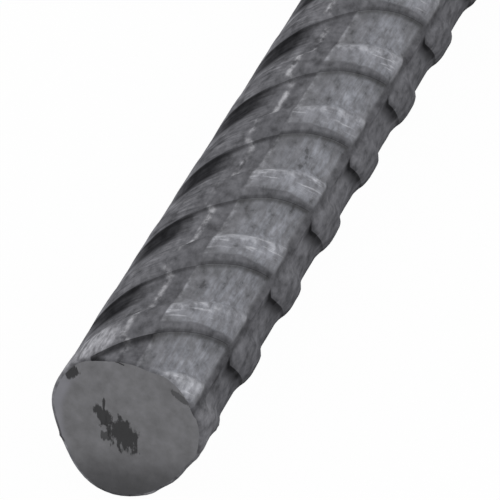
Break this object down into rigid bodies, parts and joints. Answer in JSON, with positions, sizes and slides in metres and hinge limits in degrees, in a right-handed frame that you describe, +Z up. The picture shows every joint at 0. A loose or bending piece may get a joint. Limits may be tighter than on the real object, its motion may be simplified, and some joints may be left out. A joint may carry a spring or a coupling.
{
  "type": "steel reinforcing bar",
  "caption": "Straight deformed steel reinforcing bar, a hot-rolled round with low seam ribs along its sides and leaning sheared ends, for tying into concrete.",
  "frame": {"origin": "on the floor, under the middle of the bar", "axes": "+X along the bar, +Z up"},
  "size_m": [0.6114, 0.0126, 0.0127],
  "materials": {
    "mill_scale_steel": "hot-rolled dark grey mill scale, rubbed bright on the rib crests, with matte sheared ends"
  },
  "bodies": {
    "root": {"rebar": "mill_scale_steel"}
  },
  "joints": []
}
